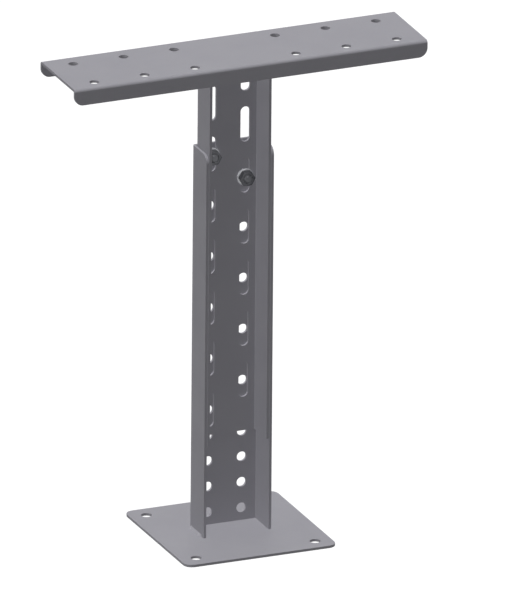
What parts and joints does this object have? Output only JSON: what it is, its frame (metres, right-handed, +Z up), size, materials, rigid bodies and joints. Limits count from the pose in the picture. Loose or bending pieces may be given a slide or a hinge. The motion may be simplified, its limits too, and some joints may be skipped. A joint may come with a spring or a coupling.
{
  "type": "raised floor pedestal",
  "caption": "Height-adjustable steel pedestal: a base plate and a folded channel carry a second, sliding channel with a drilled top bar, clamped by bolts.",
  "frame": {"origin": "middle of the base plate's underside, on the floor", "axes": "+Z is up, +X runs along the top bar, and the open side of both channels faces -Y"},
  "size_m": [0.35, 0.15, 0.4697],
  "materials": {
    "painted_sheet": "satin powder coat",
    "weld_bead": "powder coat over the bead",
    "zinc_steel": "bright zinc plating"
  },
  "bodies": {
    "base": {"base_plate": "painted_sheet", "lower_channel": "painted_sheet", "base_weld_left": "weld_bead", "base_weld_right": "weld_bead", "base_weld_back": "weld_bead", "left_bolt": "zinc_steel", "left_head_washer": "zinc_steel", "left_nut_washer": "zinc_steel", "left_nut": "zinc_steel", "right_bolt": "zinc_steel", "right_head_washer": "zinc_steel", "right_nut_washer": "zinc_steel", "right_nut": "zinc_steel"},
    "head": {"upper_channel": "painted_sheet", "top_bar": "painted_sheet", "head_weld_left": "weld_bead", "head_weld_right": "weld_bead", "head_weld_back": "weld_bead"}
  },
  "joints": [
    {"name": "height_adjust", "type": "slide", "parent": "base", "child": "head", "axis": [0, 0, 1], "range_m": [-0.0145, 0.0117]}
  ]
}
